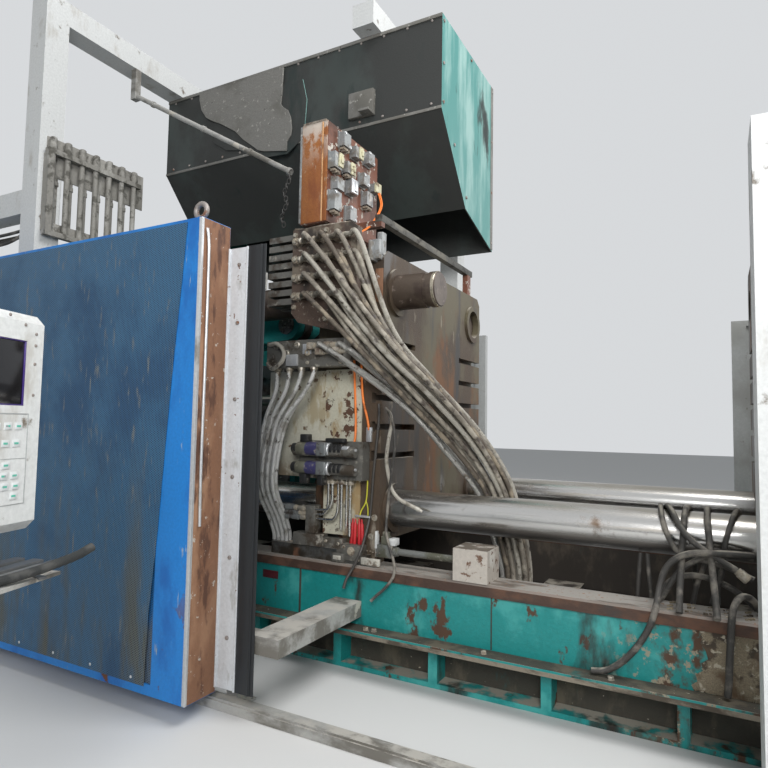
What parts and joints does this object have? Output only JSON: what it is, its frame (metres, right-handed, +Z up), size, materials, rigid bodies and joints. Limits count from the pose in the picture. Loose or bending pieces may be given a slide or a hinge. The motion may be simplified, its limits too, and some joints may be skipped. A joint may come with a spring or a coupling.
{
  "type": "cold-chamber die casting machine",
  "caption": "Horizontal cold-chamber die casting machine with toggle clamp, drawn upper tie bars, sliding guard door, hood and injection unit.",
  "frame": {"origin": "on the floor, on the machine's centre line, under the die face of the fixed platen", "axes": "+X along the machine to the injection side, +Y away from the operator, +Z up"},
  "size_m": [11.3, 6.0286, 5.1],
  "materials": {
    "bed_paint": "teal machine paint, oily and chipped",
    "rusty_rail": "rust-brown side with a ground running face",
    "platen_rust": "cast steel with baked release agent and rust",
    "chrome_bar": "polished and scratched",
    "brown_bar": "turned steel with a brown film",
    "machined_steel": "machined, greasy",
    "cylinder_paint": "grey-green paint",
    "grey_beam": "light grey paint, dusty",
    "white_paint": "white powder coat, scuffed",
    "hood_sheet": "teal sheet, black with soot inside",
    "door_blue": "blue powder coat",
    "seal_strip": "white metal strip with a black rubber edge",
    "box_brown": "red-brown paint, flaking",
    "valve_grey": "grey valve bodies under grime",
    "hose_beige": "hydraulic hose with sleeve, dusty",
    "hose_fitting": "plated steel fittings",
    "hose_dark": "black hose, dusty"
  },
  "bodies": {
    "root": {"bed_sides": "bed_paint", "bed_cross_members": "bed_paint", "guide_rails": "rusty_rail", "fixed_platen": "platen_rust", "rear_platen": "bed_paint", "lower_tie_bars": "chrome_bar", "front_nuts": "machined_steel", "adjusting_nuts": "machined_steel", "closing_cylinder": "cylinder_paint", "crosshead_guide_rods": "chrome_bar", "bar_supports": "bed_paint", "shot_sleeve": "machined_steel", "plunger_rod": "chrome_bar", "injection_rods": "chrome_bar", "injection_plate": "bed_paint", "shot_cylinder": "cylinder_paint", "accumulators": "cylinder_paint", "injection_base": "bed_paint", "oil_tank": "bed_paint", "pump_motors": "cylinder_paint", "door_track": "grey_beam", "track_beams": "grey_beam", "guard_posts": "grey_beam", "fixed_guard_front": "white_paint", "rear_guard": "grey_beam", "control_panel": "white_paint", "control_stand": "grey_beam", "fume_hood": "hood_sheet", "hood_columns": "white_paint", "hood_beams": "white_paint", "hose_arm": "grey_beam", "pipe_rack": "grey_beam", "draped_hoses": "hose_dark"},
    "guard_door": {"door_frame": "door_blue", "door_sheet": "door_blue", "door_seal": "seal_strip", "door_rollers": "machined_steel"},
    "moving_platen": {"moving_platen": "platen_rust", "platen_shoes": "machined_steel", "connector_box": "box_brown", "box_connectors": "valve_grey", "hose_manifold": "platen_rust", "slat_block": "valve_grey", "lower_manifold": "valve_grey", "valve_plate": "white_paint", "valve_block": "valve_grey", "sensor_box": "white_paint", "ejector": "machined_steel", "hose_bundle": "hose_beige", "hose_couplings": "hose_fitting", "return_hoses": "hose_beige"},
    "rear_link_upper": {"rear_link_upper": "machined_steel"},
    "rear_link_lower": {"rear_link_lower": "machined_steel"},
    "front_link_upper": {"front_link_upper": "machined_steel"},
    "front_link_lower": {"front_link_lower": "machined_steel"},
    "crosshead": {"crosshead": "machined_steel"},
    "drive_link_upper": {"drive_link_upper": "machined_steel"},
    "drive_link_lower": {"drive_link_lower": "machined_steel"},
    "upper_bar_front": {"upper_tie_bar_front": "brown_bar"},
    "upper_bar_rear": {"upper_tie_bar_rear": "brown_bar"}
  },
  "joints": [
    {"name": "clamp_stroke", "type": "slide", "parent": "root", "child": "moving_platen", "axis": [1, 0, 0], "range_m": [0, 0.89]},
    {"name": "rear_link_upper_swing", "type": "hinge", "parent": "root", "child": "rear_link_upper", "pos_m": [-3.417, 0, 2.445], "axis": [0, -1, 0], "range_deg": [0, 110.35]},
    {"name": "rear_link_lower_swing", "type": "hinge", "parent": "root", "child": "rear_link_lower", "pos_m": [-3.417, 0, 1.165], "axis": [0, 1, 0], "range_deg": [0, 110.35]},
    {"name": "front_link_upper_swing", "type": "hinge", "parent": "moving_platen", "child": "front_link_upper", "pos_m": [-2.99, 0, 2.445], "axis": [0, 1, 0], "range_deg": [0, 33.2]},
    {"name": "front_link_lower_swing", "type": "hinge", "parent": "moving_platen", "child": "front_link_lower", "pos_m": [-2.99, 0, 1.165], "axis": [0, -1, 0], "range_deg": [0, 33.2]},
    {"name": "crosshead_slide", "type": "slide", "parent": "root", "child": "crosshead", "axis": [1, 0, 0], "range_m": [0, 0.8965]},
    {"name": "drive_link_upper_swing", "type": "hinge", "parent": "crosshead", "child": "drive_link_upper", "pos_m": [-3.94819, 0, 2.065], "axis": [0, -1, 0], "range_deg": [0, 81.25]},
    {"name": "drive_link_lower_swing", "type": "hinge", "parent": "crosshead", "child": "drive_link_lower", "pos_m": [-3.94819, 0, 1.545], "axis": [0, 1, 0], "range_deg": [0, 81.25]},
    {"name": "upper_bar_front_pull", "type": "slide", "parent": "root", "child": "upper_bar_front", "axis": [1, 0, 0], "range_m": [0, 2.59]},
    {"name": "upper_bar_rear_pull", "type": "slide", "parent": "root", "child": "upper_bar_rear", "axis": [1, 0, 0], "range_m": [0, 2.96]},
    {"name": "door_slide", "type": "slide", "parent": "root", "child": "guard_door", "axis": [1, 0, 0], "range_m": [0, 2.33]}
  ],
  "couplings": [
    {"joint": "rear_link_upper_swing", "follows": "clamp_stroke", "rad_per_m": 2.1601},
    {"joint": "rear_link_lower_swing", "follows": "clamp_stroke", "rad_per_m": 2.1601},
    {"joint": "front_link_upper_swing", "follows": "clamp_stroke", "rad_per_m": 0.64712},
    {"joint": "front_link_lower_swing", "follows": "clamp_stroke", "rad_per_m": 0.64712},
    {"joint": "crosshead_slide", "follows": "clamp_stroke", "ratio": 1.0062},
    {"joint": "drive_link_upper_swing", "follows": "clamp_stroke", "rad_per_m": 1.5895},
    {"joint": "drive_link_lower_swing", "follows": "clamp_stroke", "rad_per_m": 1.5895}
  ]
}
